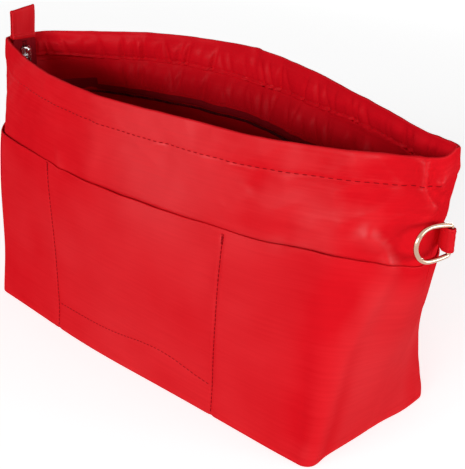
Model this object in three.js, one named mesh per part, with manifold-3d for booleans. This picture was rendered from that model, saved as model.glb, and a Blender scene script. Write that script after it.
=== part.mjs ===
// Purse organizer insert: a boxed nylon bag standing open, with outer pockets, a hanging zip and a key ring.
// Millimetres. The origin is the middle of the base, +X runs to the ring end, +Y to the back and +Z up.
import * as THREE from "three";
import ManifoldModule from "manifold-3d";

// Bag body
const BASE_LENGTH = 276;
const BASE_DEPTH = 101;
const BASE_CORNER = 6;
const BASE_BOW = 1.5;
const HEIGHT = 165;
const LEFT_END_WIDTH = 27;
const RIGHT_END_WIDTH = 9;
const END_ROUND = 4;
const FRONT = { side: -1, bow: 43, power: 2.6, shift: 0.11, rise: -4, tip: -1.8 };
const BACK = { side: 1, bow: 53, power: 1.55, shift: -0.14, rise: 8, tip: 1.2 };
const TIP_REACH = 76;
const BELLY_SIDE = 2;
const BELLY_END = 4;
const BELLY_REACH = 149;
const BELLY_SKEW = 1.3;

// Cloth, board and the space between plies
const PLY_GAP = 0.3;
const SHELL = 1;
const LINING = 0.8;
const POCKET = 0.8;
const STRIP = 0.6;
const BOARD = 2;

// Hem, pockets and zip strips
const HEM_DEPTH = 18.5;
const POCKET_HEIGHT = 113;
const POCKET_EASE = 1.4;
const POCKET_DIVIDERS = [117, 260];
const INNER_POCKET_HEIGHT = 85;
const INNER_POCKET_INSET = 6;
const STRIP_DROP = 19;
const STRIP_TURN = 2;
const STRIP_LEAN = 4;
const STRIP_LEAN_RUN = 100;
const STRIP_LEFT_MARGIN = 50;
const STRIP_RIGHT_MARGIN = 27;

// Zip
const TAPE = 0.5;
const TAPE_SHOWN = 5;
const TAPE_SEWN = 5;
const TAPE_CUT = 0.8;
const TAPE_END_SHOWN = 0.4;
const TAIL_HALF_WIDTH = 8.75;
const TAIL_TO_FRONT = 3.5;
const TURN_PULL = { coil: 14, low: 13, high: 8 };
const PARTING_RISE = 3.5;
const PARTING_RUN = 4;
const COIL_RADIUS = 0.95;
const COIL_ROOT = 0.62;
const COIL_PITCH = 1.3;
const WEDGE_WIDTH = 0.9;
const WEDGE_NOSE = 1.4;
const WEDGE_INSET = 0.5;
const WEDGE_TIP = 0.3;
const STOP_LENGTH = 3;
const STOP_RADIUS = 1.3;
const SLIDER_LENGTH = 9;
const SLIDER_PLATE = 0.9;
const SLIDER_CORNER = 2;
const SLIDER_FLANGE = 0.85;
const SLIDER_BELOW_RIM = 12;
const TAIL_BELOW_RIM = 27;
const BRIDGE_WIDTH = 1.6;
const BRIDGE_HOLE = 1.9;
const BRIDGE_THICKNESS = 0.9;
const BRIDGE_HALF_LENGTH = 3.6;
const BRIDGE_LEG = 0.9;
const BRIDGE_ROUND = 1;
const PULL_LENGTH = 22;
const PULL_WIDTH = 5;
const PULL_THICKNESS = 1;
const PULL_AXIS_DROP = 1.6;
const PULL_BAR = 1.2;
const PULL_EYE = 6;
const PULL_EYE_SLACK = 0.4;
const PULL_ROUND = 0.8;
const PULL_WAIST = 3.5;
const TAB_HEIGHT = 19;
const TAB_PLY = 0.7;
const TAB_BELOW_RIM = 2;
const TAPE_IN_TAB = 7;

// Key ring and its loop
const RING_WIRE = 2.4;
const RING_BAR_INNER = 13;
const RING_BREADTH_INNER = 15;
const RING_DEPTH_INNER = 17.2;
const RING_CORNER = 1.6;
const RING_SWING = 18;
const LOOP_WIDTH = 12;
const LOOP_BELOW_RIM = 36.5;
const LOOP_PLY = 0.8;
const LOOP_REACH = 7.1;

// Colours, roughness and metalness
function finish(color, roughness, metalness) {
  return new THREE.MeshStandardMaterial({ color, roughness, metalness });
}
const nylon = finish(0xd8242b, 0.55, 0);
const liningCloth = finish(0x9c1620, 0.6, 0);
const tapeCloth = finish(0x7d0f1a, 0.75, 0);
const coilPlastic = finish(0x6b0c16, 0.45, 0);
const boardPlastic = finish(0x2a2a2c, 0.7, 0);
const silver = finish(0xc9cacc, 0.25, 1);
const paleGold = finish(0xdcb48c, 0.2, 1);

const { Manifold, Mesh: SolidMesh } = await (async () => {
  const wasm = await ManifoldModule();
  wasm.setup();
  return wasm;
})();

// Skins a row of equal cross sections into one closed body; a section runs out along one face and back the other
function loft(sections, closed = false) {
  const count = sections[0].length;
  const half = count / 2;
  const index = [];
  const spans = closed ? sections.length : sections.length - 1;
  for (let i = 0; i < spans; i += 1) {
    const here = i * count;
    const next = ((i + 1) % sections.length) * count;
    for (let j = 0; j < count; j += 1) {
      const k = (j + 1) % count;
      if (j < half) {
        index.push(here + j, here + k, next + k, here + j, next + k, next + j);
      } else {
        index.push(here + j, here + k, next + j, here + k, next + k, next + j);
      }
    }
  }
  if (!closed) {
    const end = (sections.length - 1) * count;
    for (let j = 0; j < half - 1; j += 1) {
      const k = count - 1 - j;
      index.push(j, k, k - 1, j, k - 1, j + 1);
      index.push(end + j, end + j + 1, end + k - 1, end + j, end + k - 1, end + k);
    }
  }
  const geometry = new THREE.BufferGeometry().setFromPoints(sections.flat());
  geometry.setIndex(index);
  return faceOut(geometry);
}

// Turns a closed body's triangles to face out
function faceOut(geometry) {
  const at = geometry.getAttribute("position");
  const index = Array.from(geometry.index.array);
  const [a, b, c] = [new THREE.Vector3(), new THREE.Vector3(), new THREE.Vector3()];
  let volume = 0;
  for (let i = 0; i < index.length; i += 3) {
    a.fromBufferAttribute(at, index[i]);
    b.fromBufferAttribute(at, index[i + 1]);
    c.fromBufferAttribute(at, index[i + 2]);
    volume += a.dot(b.cross(c));
  }
  if (volume < 0) {
    geometry.setIndex(index.reverse());
  }
  geometry.computeVertexNormals();
  return geometry;
}

// Half of the base outline, from the left seam round the slightly bowed front or back to the right seam
function baseHalf(face) {
  const x = BASE_LENGTH / 2;
  const y = face.side * BASE_DEPTH / 2;
  const inset = face.side * BASE_CORNER;
  const path = new THREE.Path();
  path.moveTo(-x, 0);
  path.lineTo(-x, y - inset);
  path.absarc(-x + BASE_CORNER, y - inset, BASE_CORNER, Math.PI, face.side * Math.PI / 2, face.side > 0);
  path.quadraticCurveTo(0, y + face.side * 2 * BASE_BOW, x - BASE_CORNER, y);
  path.absarc(x - BASE_CORNER, y - inset, BASE_CORNER, face.side * Math.PI / 2, 0, face.side > 0);
  path.lineTo(x, 0);
  return path;
}

// Quarter-round growth from nothing to one over a short run
function roundEnd(run) {
  return Math.sqrt(1 - (1 - Math.min(run, 1)) ** 2);
}

// Half of the open mouth: the cloth edge bows out between two pinched ends and dips or lifts at the right tip
class MouthHalf extends THREE.Curve {
  constructor(face, halfLength) {
    super();
    this.face = face;
    this.halfLength = halfLength;
    this.arcLengthDivisions = 400;
  }

  getPoint(w, target = new THREE.Vector3()) {
    const { side, bow, power, shift, rise, tip } = this.face;
    const x = -this.halfLength * Math.cos(Math.PI * w);
    const t = x / this.halfLength;
    const swell = 1 - Math.abs(t - shift * (1 - t * t)) ** power;
    const ends = THREE.MathUtils.lerp(LEFT_END_WIDTH, RIGHT_END_WIDTH, (t + 1) / 2) / 2;
    const fromTip = this.halfLength - x;
    const round = roundEnd((x + this.halfLength) / END_ROUND) * roundEnd(fromTip / END_ROUND);
    const tilt = tip * round * THREE.MathUtils.smoothstep(TIP_REACH - fromTip, 0, TIP_REACH);
    return target.set(x, side * (ends * round + bow * swell), HEIGHT + rise * swell + tilt);
  }
}

// The cloth does not stretch, so the mouth is as long as the base is round
const girth = baseHalf(FRONT).getLength();
function mouthHalfLength(face) {
  let [short, long] = [girth / 4, girth / 2];
  for (let i = 0; i < 30; i += 1) {
    const middle = (short + long) / 2;
    if (new MouthHalf(face, middle).getLength() < girth) {
      short = middle;
    } else {
      long = middle;
    }
  }
  return short;
}
const mouthEnd = mouthHalfLength(FRONT);
for (const face of [FRONT, BACK]) {
  face.base = baseHalf(face);
  face.mouth = new MouthHalf(face, mouthEnd);
}

// A place on the straight-drawn wall, by share of the girth from the left seam and share of the height
function drawnPoint(face, u, v) {
  const foot = face.base.getPoint(u);
  return new THREE.Vector3(foot.x, foot.y, 0).lerp(face.mouth.getPointAt(u), v);
}

// A place at a depth inside the outer face of the shell; the walls belly out most near the ends
function wallPoint(face, u, v, depth) {
  const reach = 0.004;
  const before = drawnPoint(face, Math.max(u - reach, 0), v);
  const along = drawnPoint(face, Math.min(u + reach, 1), v).sub(before);
  const inward = new THREE.Vector3(-along.y, along.x, 0).normalize().multiplyScalar(-face.side);
  const fromSeam = Math.min(u, 1 - u) * girth;
  const nearEnd = THREE.MathUtils.smoothstep(BELLY_REACH - fromSeam, 0, BELLY_REACH);
  const belly = (BELLY_SIDE + BELLY_END * nearEnd) * Math.sin(Math.PI * v ** BELLY_SKEW);
  return drawnPoint(face, u, v).addScaledVector(inward, depth - belly);
}

// Shared columns and rows keep every ply's facets parallel
const share = (distance) => distance / girth;
const level = (height) => height / HEIGHT;
const seam = share(PLY_GAP / 2);
const cornerStart = BASE_DEPTH / 2 - BASE_CORNER;
const cornerEnd = cornerStart + BASE_CORNER * Math.PI / 2;
function columnList() {
  const end = [0.1, 0.22, 0.37, 0.56, 0.78, 1].map((part) => cornerStart * part);
  const corner = [1 / 3, 2 / 3, 1].map((part) => THREE.MathUtils.lerp(cornerStart, cornerEnd, part));
  const left = [seam, ...[...end, ...corner].map(share)];
  const right = left.map((u) => 1 - u).reverse();
  const steps = 13;
  const [from, to] = [left[left.length - 1], right[0]];
  const middle = Array.from({ length: steps - 1 }, (_, i) => from + (to - from) * (i + 1) / steps);
  return [...left, ...middle, ...right];
}
const columns = columnList();

const liningDepth = SHELL + PLY_GAP;
const innerFace = liningDepth + LINING;
const boardFoot = SHELL + PLY_GAP;
const liningFoot = boardFoot + BOARD + PLY_GAP;
const hem = HEIGHT - HEM_DEPTH;
const rows = [
  0,
  liningFoot,
  POCKET_HEIGHT * 0.25,
  POCKET_HEIGHT * 0.5,
  POCKET_HEIGHT * 0.75,
  POCKET_HEIGHT,
  (POCKET_HEIGHT + hem) / 2,
  hem,
  HEIGHT,
].map(level);

// The shared stations inside a range, with the range's own ends
function between(stations, from, to) {
  const slack = 1e-6;
  return [from, ...stations.filter((s) => s > from + slack && s < to - slack), to];
}

// One ply of cloth on the wall
function ply(face, [u0, u1], [z0, z1], depthAt, thickness) {
  const us = between(columns, u0, u1);
  const vs = between(rows, level(z0), level(z1));
  return loft(us.map((u) => {
    const outer = vs.map((v) => wallPoint(face, u, v, depthAt(u, v)));
    const inner = vs.map((v) => wallPoint(face, u, v, depthAt(u, v) + thickness));
    return [...outer, ...inner.reverse()];
  }));
}

// How far a pocket's cloth stands off the wall: held at the dividers, the ends and the foot, loose at the mouth
function looseness(u, v, top) {
  const stops = [0, ...POCKET_DIVIDERS.map(share), 1];
  const next = stops.findIndex((stop) => stop >= u);
  const [from, to] = [stops[Math.max(next - 1, 0)], stops[Math.max(next, 1)]];
  const across = Math.sin(Math.PI * THREE.MathUtils.clamp((u - from) / (to - from), 0, 1)) ** 2;
  return POCKET_EASE * across * (v / level(top)) ** 2;
}

const seamToSeam = [seam, 1 - seam];
const sideStart = share(cornerEnd + INNER_POCKET_INSET);
const sideOnly = [sideStart, 1 - sideStart];
const facingRun = [share(LEFT_END_WIDTH / 2 + END_ROUND), 1 - share(RIGHT_END_WIDTH / 2 + END_ROUND)];
const stripRun = [share(STRIP_LEFT_MARGIN), 1 - share(STRIP_RIGHT_MARGIN)];
const stripFoot = hem - STRIP_DROP;
const tapeDepth = innerFace + 2 * PLY_GAP;
const stripDepth = tapeDepth + TAPE + PLY_GAP;
const coilLevel = level(stripFoot - TAPE_SHOWN);

// How far the hanging strip and its tape have swung in from the wall
function lean(u, v) {
  const run = share(STRIP_LEAN_RUN);
  const left = THREE.MathUtils.smoothstep(u - stripRun[0], 0, run);
  const right = THREE.MathUtils.smoothstep(stripRun[1] - u, 0, run);
  const drop = (level(hem) - v) / (level(hem) - coilLevel);
  return STRIP_LEAN * left * right * Math.max(drop, 0);
}

const shellPanel = (face) => ply(face, seamToSeam, [0, HEIGHT], () => 0, SHELL);
const liningPanel = (face) => ply(face, seamToSeam, [liningFoot, hem - PLY_GAP / 2], () => liningDepth, LINING);
const facingBand = (face) => ply(face, facingRun, [hem + PLY_GAP / 2, HEIGHT], () => liningDepth, LINING);
const outerPocket = (face) => ply(
  face,
  seamToSeam,
  [0, POCKET_HEIGHT],
  (u, v) => -PLY_GAP - POCKET - looseness(u, v, POCKET_HEIGHT),
  POCKET,
);
const innerPocket = (face) => ply(
  face,
  sideOnly,
  [liningFoot + LINING + PLY_GAP, INNER_POCKET_HEIGHT],
  (u, v) => innerFace + PLY_GAP + looseness(u, v, INNER_POCKET_HEIGHT),
  POCKET,
);

// The strip leaves the hem against the lining and stands off it lower down, in front of the zip tape
function zipStrip(face) {
  const top = hem - PLY_GAP;
  const turn = STRIP_DROP - TAPE_SEWN - STRIP_TURN;
  const depthAt = (u, v) => {
    const hang = THREE.MathUtils.clamp((level(top) - v) / level(turn), 0, 1);
    return THREE.MathUtils.lerp(tapeDepth, stripDepth, hang) + lean(u, v);
  };
  const us = between(columns, ...stripRun);
  const vs = [top, hem - turn, stripFoot].map(level).reverse();
  return loft(us.map((u) => {
    const outer = vs.map((v) => wallPoint(face, u, v, depthAt(u, v)));
    const inner = vs.map((v) => wallPoint(face, u, v, depthAt(u, v) + STRIP));
    return [...outer, ...inner.reverse()];
  }));
}

// A flat layer of the base inside the wall plies
function baseLayer(depth, foot, thickness) {
  const middle = level(foot + thickness / 2);
  const plan = (face) => columns.map((u) => wallPoint(face, u, middle, depth));
  const outline = [...plan(FRONT), ...plan(BACK).reverse()].map((p) => new THREE.Vector2(p.x, p.y));
  const layer = new THREE.ExtrudeGeometry(new THREE.Shape(outline), { depth: thickness, bevelEnabled: false });
  return layer.translate(0, 0, foot);
}

// Zip stations from the right end along the wall, through the free turn, to the foot of the upright tail
const tailFoot = HEIGHT - TAIL_BELOW_RIM;
const tabFoot = HEIGHT - TAB_BELOW_RIM;
const tapeEndFoot = tabFoot - TAPE_END_SHOWN;
const tailTop = tapeEndFoot - TAPE_CUT;
const sliderHeight = HEIGHT - SLIDER_BELOW_RIM;
const tapeEdge = COIL_RADIUS + PLY_GAP;
const meshedOffset = COIL_RADIUS / 2 + COIL_ROOT / 2 + PLY_GAP / 2;
const partedOffset = WEDGE_WIDTH / 2 + PLY_GAP + COIL_RADIUS;

// Slider sizes follow the coil and the tape that run through it
const channelHalf = COIL_RADIUS + PLY_GAP;
const channelWidth = partedOffset + tapeEdge;
const slotHalf = TAPE / 2 + PLY_GAP;
const sliderFace = channelHalf + SLIDER_PLATE;
const sliderHalfWidth = channelWidth + SLIDER_FLANGE;
const pullAxisX = sliderFace + BRIDGE_HOLE / 2;

// The tail stands as near the left end as the slider and the tape's edges allow
const tailEdge = share(TAIL_HALF_WIDTH + TAIL_TO_FRONT + 1);
const tailX = Math.max(
  wallPoint(FRONT, 0, level(tailFoot), innerFace + PLY_GAP + sliderFace).x,
  wallPoint(FRONT, tailEdge, level(tailFoot), innerFace + PLY_GAP + TAPE).x,
  wallPoint(FRONT, tailEdge, level(hem), innerFace + PLY_GAP + TAPE).x,
);
const coilDepth = innerFace + PLY_GAP + COIL_RADIUS;

function wallStations(face) {
  const [from, to] = stripRun;
  const place = (u, v, depth) => wallPoint(face, u, v, depth + lean(u, v));
  return between(columns, from, to).reverse().map((u) => ({
    coil: place(u, coilLevel, coilDepth),
    low: place(u, coilLevel + level(tapeEdge), tapeDepth + TAPE / 2),
    high: place(u, level(stripFoot + TAPE_SEWN), tapeDepth + TAPE / 2),
  }));
}

// Half the space between the two coils at a height on the tail: meshed above the slider's wedge, parted below it
function coilOffset(z) {
  const parting = THREE.MathUtils.clamp((sliderHeight + PARTING_RISE - z) / PARTING_RUN, 0, 1);
  return THREE.MathUtils.lerp(meshedOffset, partedOffset, parting);
}

function tailStation(face, z) {
  const offset = coilOffset(z);
  const place = (y) => new THREE.Vector3(tailX, face.side * y - TAIL_TO_FRONT, z);
  return { coil: place(offset), low: place(offset + tapeEdge), high: place(TAIL_HALF_WIDTH) };
}

function turnStations(wallEnd, tailStart) {
  const curveFor = (key) => {
    const pull = TURN_PULL[key];
    const heading = tailStart[key].clone().sub(wallEnd[key]).setZ(0).normalize();
    return new THREE.CubicBezierCurve3(
      wallEnd[key],
      wallEnd[key].clone().addScaledVector(heading, pull),
      tailStart[key].clone().add(new THREE.Vector3(0, 0, -pull)),
      tailStart[key],
    );
  };
  const curves = { coil: curveFor("coil"), low: curveFor("low"), high: curveFor("high") };
  const steps = 10;
  return Array.from({ length: steps - 1 }, (_, i) => {
    const t = (i + 1) / steps;
    return { coil: curves.coil.getPoint(t), low: curves.low.getPoint(t), high: curves.high.getPoint(t) };
  });
}

function zipStations(face, tailHeights) {
  const wall = wallStations(face);
  const tail = tailHeights.map((z) => tailStation(face, z));
  return [...wall, ...turnStations(wall[wall.length - 1], tail[0]), ...tail];
}

// Unit vectors along and across the zip at a station
function zipFrame(face, stations, i, key) {
  const ahead = stations[Math.min(i + 1, stations.length - 1)][key];
  const along = ahead.clone().sub(stations[Math.max(i - 1, 0)][key]).normalize();
  const width = stations[i].high.clone().sub(stations[i].low).normalize();
  const inward = along.clone().cross(width).normalize().multiplyScalar(-face.side);
  return { along, inward, across: along.clone().cross(inward) };
}

function zipTape(face) {
  const parted = sliderHeight + PARTING_RISE;
  const heights = [tailFoot, parted - 2 * PARTING_RUN, parted - PARTING_RUN, parted, tailTop];
  const stations = zipStations(face, heights);
  const sections = stations.map(({ low, high }, i) => {
    const { inward } = zipFrame(face, stations, i, "low");
    const shift = (p, d) => p.clone().addScaledVector(inward, d * TAPE / 2);
    return [shift(low, -1), shift(high, -1), shift(high, 1), shift(low, 1)];
  });
  return loft(sections.reverse());
}

// The coil is ribbed where it stands on the tail, the two halves half a pitch apart so that their ribs mesh
function zipCoil(face) {
  const half = COIL_PITCH / 2;
  const ribs = Math.floor((tailTop - tailFoot) / half);
  const heights = Array.from({ length: ribs + 1 }, (_, i) => tailFoot + i * half);
  const stations = zipStations(face, heights);
  const firstRib = stations.length - heights.length;
  const sides = 8;
  return loft(stations.map(({ coil }, i) => {
    const { across, inward } = zipFrame(face, stations, i, "coil");
    const ribbed = i >= firstRib && (i - firstRib + (face.side > 0 ? 1 : 0)) % 2 === 1;
    const radius = ribbed ? COIL_ROOT : COIL_RADIUS;
    return Array.from({ length: sides }, (_, j) => {
      const angle = (j + 0.5) * 2 * Math.PI / sides;
      const offset = across.clone().multiplyScalar(Math.cos(angle)).addScaledVector(inward, Math.sin(angle));
      return coil.clone().addScaledVector(offset, radius);
    });
  }));
}

// A metal stop clamped on the tape's edge past the coil's right end
function topStop(face) {
  const start = stripRun[1] + share(PLY_GAP);
  const sides = 8;
  return loft([0, 0.5, 1].map((part) => {
    const u = start + share(STOP_LENGTH) * part;
    const middle = wallPoint(face, u, coilLevel, innerFace + PLY_GAP + STOP_RADIUS);
    const along = wallPoint(face, u + share(1), coilLevel, 0).sub(wallPoint(face, u, coilLevel, 0)).setZ(0);
    const side = new THREE.Vector3(-along.y, along.x, 0).normalize();
    return Array.from({ length: sides }, (_, j) => {
      const angle = (j + 0.5) * 2 * Math.PI / sides;
      const rise = new THREE.Vector3(0, 0, Math.cos(angle) * STOP_RADIUS);
      return middle.clone().add(rise).addScaledVector(side, Math.sin(angle) * STOP_RADIUS);
    });
  }));
}

// Exchange with the solid modeller for joining and cutting
function toSolid(geometry) {
  const source = geometry.index ? geometry.toNonIndexed() : geometry;
  const vertProperties = new Float32Array(source.getAttribute("position").array);
  const triVerts = Uint32Array.from({ length: vertProperties.length / 3 }, (_, i) => i);
  const mesh = new SolidMesh({ numProp: 3, vertProperties, triVerts });
  mesh.merge();
  return new Manifold(mesh);
}

function toGeometry(solid) {
  const { vertProperties, triVerts } = solid.getMesh();
  const geometry = new THREE.BufferGeometry();
  geometry.setAttribute("position", new THREE.BufferAttribute(new Float32Array(vertProperties), 3));
  geometry.setIndex(Array.from(triVerts));
  return faceOut(geometry);
}

function extrude(shape, depth) {
  return new THREE.ExtrudeGeometry(shape, { depth, bevelEnabled: false, curveSegments: 6 });
}

function roundedRectangle(width, height, radius) {
  const [x, y] = [width / 2, height / 2];
  const shape = new THREE.Shape();
  shape.moveTo(-x + radius, -y);
  shape.lineTo(x - radius, -y);
  shape.quadraticCurveTo(x, -y, x, -y + radius);
  shape.lineTo(x, y - radius);
  shape.quadraticCurveTo(x, y, x - radius, y);
  shape.lineTo(-x + radius, y);
  shape.quadraticCurveTo(-x, y, -x, y - radius);
  shape.lineTo(-x, -y + radius);
  shape.quadraticCurveTo(-x, -y, -x + radius, -y);
  return shape;
}

function zipSlider() {
  const section = new THREE.Shape([
    new THREE.Vector2(-sliderHalfWidth, slotHalf),
    new THREE.Vector2(-channelWidth, slotHalf),
    new THREE.Vector2(-channelWidth, channelHalf),
    new THREE.Vector2(channelWidth, channelHalf),
    new THREE.Vector2(channelWidth, slotHalf),
    new THREE.Vector2(sliderHalfWidth, slotHalf),
    new THREE.Vector2(sliderHalfWidth, sliderFace),
    new THREE.Vector2(-sliderHalfWidth, sliderFace),
  ]);
  const blade = () => extrude(section, SLIDER_LENGTH).translate(0, 0, -SLIDER_LENGTH / 2);
  const inside = toSolid(blade().rotateZ(-Math.PI / 2));
  const outside = toSolid(blade().rotateZ(Math.PI / 2));
  const outline = extrude(roundedRectangle(SLIDER_LENGTH, 2 * sliderHalfWidth, SLIDER_CORNER), 4 * sliderFace);
  const trim = toSolid(outline.rotateY(Math.PI / 2).translate(-2 * sliderFace, 0, 0));
  const foot = SLIDER_LENGTH / 2 - WEDGE_INSET;
  const diamond = new THREE.Shape([
    new THREE.Vector2(foot, 0),
    new THREE.Vector2(foot - WEDGE_NOSE, WEDGE_WIDTH / 2),
    new THREE.Vector2(WEDGE_TIP, 0),
    new THREE.Vector2(foot - WEDGE_NOSE, -WEDGE_WIDTH / 2),
  ]);
  const wedgeDepth = 2 * channelHalf + SLIDER_PLATE;
  const wedge = toSolid(extrude(diamond, wedgeDepth).rotateY(Math.PI / 2).translate(-wedgeDepth / 2, 0, 0));
  const crown = sliderFace + BRIDGE_HOLE + BRIDGE_THICKNESS;
  const root = sliderFace - SLIDER_PLATE / 2;
  const hole = BRIDGE_HALF_LENGTH - BRIDGE_LEG;
  const arch = new THREE.Shape();
  arch.moveTo(root, -BRIDGE_HALF_LENGTH);
  arch.lineTo(crown - BRIDGE_ROUND, -BRIDGE_HALF_LENGTH);
  arch.quadraticCurveTo(crown, -BRIDGE_HALF_LENGTH, crown, BRIDGE_ROUND - BRIDGE_HALF_LENGTH);
  arch.lineTo(crown, BRIDGE_HALF_LENGTH - BRIDGE_ROUND);
  arch.quadraticCurveTo(crown, BRIDGE_HALF_LENGTH, crown - BRIDGE_ROUND, BRIDGE_HALF_LENGTH);
  arch.lineTo(root, BRIDGE_HALF_LENGTH);
  arch.lineTo(root, hole);
  arch.lineTo(crown - BRIDGE_THICKNESS, hole);
  arch.lineTo(crown - BRIDGE_THICKNESS, -hole);
  arch.lineTo(root, -hole);
  const bridge = toSolid(extrude(arch, BRIDGE_WIDTH).rotateX(Math.PI / 2).translate(0, BRIDGE_WIDTH / 2, 0));
  const blades = Manifold.intersection([Manifold.union([inside, outside]), trim]);
  return toGeometry(Manifold.union([blades, wedge, bridge])).translate(tailX, -TAIL_TO_FRONT, sliderHeight);
}

// The pull hangs by an eye that is long enough to swing up past the bridge
function zipPull() {
  const half = PULL_WIDTH / 2;
  const waist = PULL_WAIST / 2;
  const top = -PULL_BAR / 2;
  const eyeTop = PULL_BAR / 2;
  const eyeFoot = eyeTop + PULL_EYE;
  const neck = eyeFoot + 2 * PULL_BAR;
  const shape = new THREE.Shape();
  shape.moveTo(top, -half + PULL_ROUND);
  shape.quadraticCurveTo(top, -half, top + PULL_ROUND, -half);
  shape.lineTo(eyeFoot, -half);
  shape.quadraticCurveTo(neck, -half, neck, -waist);
  shape.lineTo(PULL_LENGTH - half, -half);
  shape.quadraticCurveTo(PULL_LENGTH, -half, PULL_LENGTH, 0);
  shape.quadraticCurveTo(PULL_LENGTH, half, PULL_LENGTH - half, half);
  shape.lineTo(neck, waist);
  shape.quadraticCurveTo(neck, half, eyeFoot, half);
  shape.lineTo(top + PULL_ROUND, half);
  shape.quadraticCurveTo(top, half, top, half - PULL_ROUND);
  const gap = BRIDGE_WIDTH / 2 + PULL_EYE_SLACK;
  shape.holes.push(new THREE.Path([
    new THREE.Vector2(eyeTop, -gap),
    new THREE.Vector2(eyeTop, gap),
    new THREE.Vector2(eyeFoot, gap),
    new THREE.Vector2(eyeFoot, -gap),
  ]));
  const plate = extrude(shape, PULL_THICKNESS).rotateY(Math.PI / 2).translate(-PULL_THICKNESS / 2, 0, 0);
  return plate.translate(tailX + pullAxisX, -TAIL_TO_FRONT, sliderHeight - PULL_AXIS_DROP);
}

// The end tab is cloth folded over the end of the tape
const tabHollow = TAPE / 2 + PLY_GAP;
function zipEndTab() {
  const arcSteps = 6;
  const fold = (radius) => {
    const top = tabFoot + TAB_HEIGHT - tabHollow - TAB_PLY;
    const arc = Array.from({ length: arcSteps + 1 }, (_, i) => {
      const angle = Math.PI * (1 - i / arcSteps);
      return [tailX + radius * Math.cos(angle), top + radius * Math.sin(angle)];
    });
    return [[tailX - radius, tabFoot], ...arc, [tailX + radius, tabFoot]];
  };
  return loft([-TAIL_HALF_WIDTH, TAIL_HALF_WIDTH].map((y) => {
    const outer = fold(tabHollow + TAB_PLY);
    const inner = fold(tabHollow).reverse();
    return [...outer, ...inner].map(([x, z]) => new THREE.Vector3(x, y - TAIL_TO_FRONT, z));
  }));
}

function zipTapeEnd() {
  const height = TAPE_IN_TAB + TAPE_END_SHOWN;
  const plate = new THREE.BoxGeometry(TAPE, 2 * (TAIL_HALF_WIDTH - PLY_GAP), height);
  return plate.translate(tailX, -TAIL_TO_FRONT, tapeEndFoot + height / 2);
}

// The key ring hangs by its straight bar in a loop sewn into the right seam
const wire = RING_WIRE / 2;
const loopTop = HEIGHT - LOOP_BELOW_RIM;
const loopMiddle = loopTop - LOOP_WIDTH / 2;
const seamX = (z) => wallPoint(FRONT, 1, level(z), 0).x;
const barX = seamX(loopMiddle) + LOOP_REACH;
const ringMiddle = loopTop + PLY_GAP - RING_BAR_INNER / 2;

function dRing() {
  const rise = RING_BAR_INNER / 2 + wire;
  const radius = RING_BREADTH_INNER / 2 + wire;
  const centre = RING_DEPTH_INNER + RING_WIRE - radius;
  const outline = new THREE.Path();
  outline.moveTo(0, -rise + RING_CORNER);
  outline.lineTo(0, rise - RING_CORNER);
  outline.quadraticCurveTo(0, rise, RING_CORNER, rise);
  outline.quadraticCurveTo(centre / 2, radius, centre, radius);
  outline.absarc(centre, 0, radius, Math.PI / 2, -Math.PI / 2, true);
  outline.quadraticCurveTo(centre / 2, -radius, RING_CORNER, -rise);
  outline.quadraticCurveTo(0, -rise, 0, -rise + RING_CORNER);
  const turn = THREE.MathUtils.degToRad(RING_SWING);
  const away = new THREE.Vector3(-Math.sin(turn), -Math.cos(turn), 0);
  const up = new THREE.Vector3(0, 0, 1);
  const facing = away.clone().cross(up);
  const steps = 44;
  const sides = 10;
  return loft(Array.from({ length: steps }, (_, i) => {
    const at = outline.getPoint(i / steps);
    const before = outline.getPoint((i - 0.2 + steps) / steps % 1);
    const after = outline.getPoint((i + 0.2) / steps);
    const heading = after.clone().sub(before).normalize();
    const out = away.clone().multiplyScalar(heading.y).addScaledVector(up, -heading.x);
    const middle = new THREE.Vector3(barX, 0, ringMiddle).addScaledVector(away, at.x).addScaledVector(up, at.y);
    return Array.from({ length: sides }, (_, j) => {
      const angle = j * 2 * Math.PI / sides;
      const offset = out.clone().multiplyScalar(Math.cos(angle)).addScaledVector(facing, Math.sin(angle));
      return middle.clone().addScaledVector(offset, wire);
    });
  }), true);
}

function ringLoop() {
  const inner = wire + PLY_GAP;
  const arcSteps = 10;
  const strap = (radius, spread, root) => {
    const arc = Array.from({ length: arcSteps + 1 }, (_, i) => {
      const angle = Math.PI * (i / arcSteps - 0.5);
      return [barX + radius * Math.cos(angle), radius * Math.sin(angle)];
    });
    return [[root, -spread], ...arc, [root, spread]];
  };
  const heights = [loopTop - LOOP_WIDTH, loopMiddle, loopTop];
  return loft(heights.map((z) => {
    const root = seamX(z) + PLY_GAP;
    const outside = strap(inner + LOOP_PLY, PLY_GAP / 2 + LOOP_PLY, root);
    const inside = strap(inner, PLY_GAP / 2, root).reverse();
    return [...outside, ...inside].map(([x, y]) => new THREE.Vector3(x, y, z));
  }));
}

// Assembly
const bag = new THREE.Group();
bag.name = "purse_organizer_insert";
function add(name, geometry, material) {
  const mesh = new THREE.Mesh(geometry, material);
  mesh.name = name;
  bag.add(mesh);
}
for (const [word, face] of [["front", FRONT], ["back", BACK]]) {
  add(`${word}_panel`, shellPanel(face), nylon);
  add(`${word}_pocket`, outerPocket(face), nylon);
  add(`${word}_facing`, facingBand(face), nylon);
  add(`${word}_lining`, liningPanel(face), liningCloth);
  add(`${word}_inner_pocket`, innerPocket(face), liningCloth);
  add(`${word}_zip_strip`, zipStrip(face), nylon);
  add(`${word}_zip_tape`, zipTape(face), tapeCloth);
  add(`${word}_zip_coil`, zipCoil(face), coilPlastic);
  add(`${word}_top_stop`, topStop(face), silver);
}
add("base_panel", baseLayer(liningDepth, 0, SHELL), nylon);
add("base_board", baseLayer(liningDepth + PLY_GAP, boardFoot, BOARD), boardPlastic);
add("base_lining", baseLayer(innerFace + 2 * PLY_GAP, liningFoot, LINING), liningCloth);
add("zip_slider", zipSlider(), silver);
add("zip_pull", zipPull(), silver);
add("zip_end_tab", zipEndTab(), nylon);
add("zip_tape_end", zipTapeEnd(), tapeCloth);
add("d_ring", dRing(), paleGold);
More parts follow.
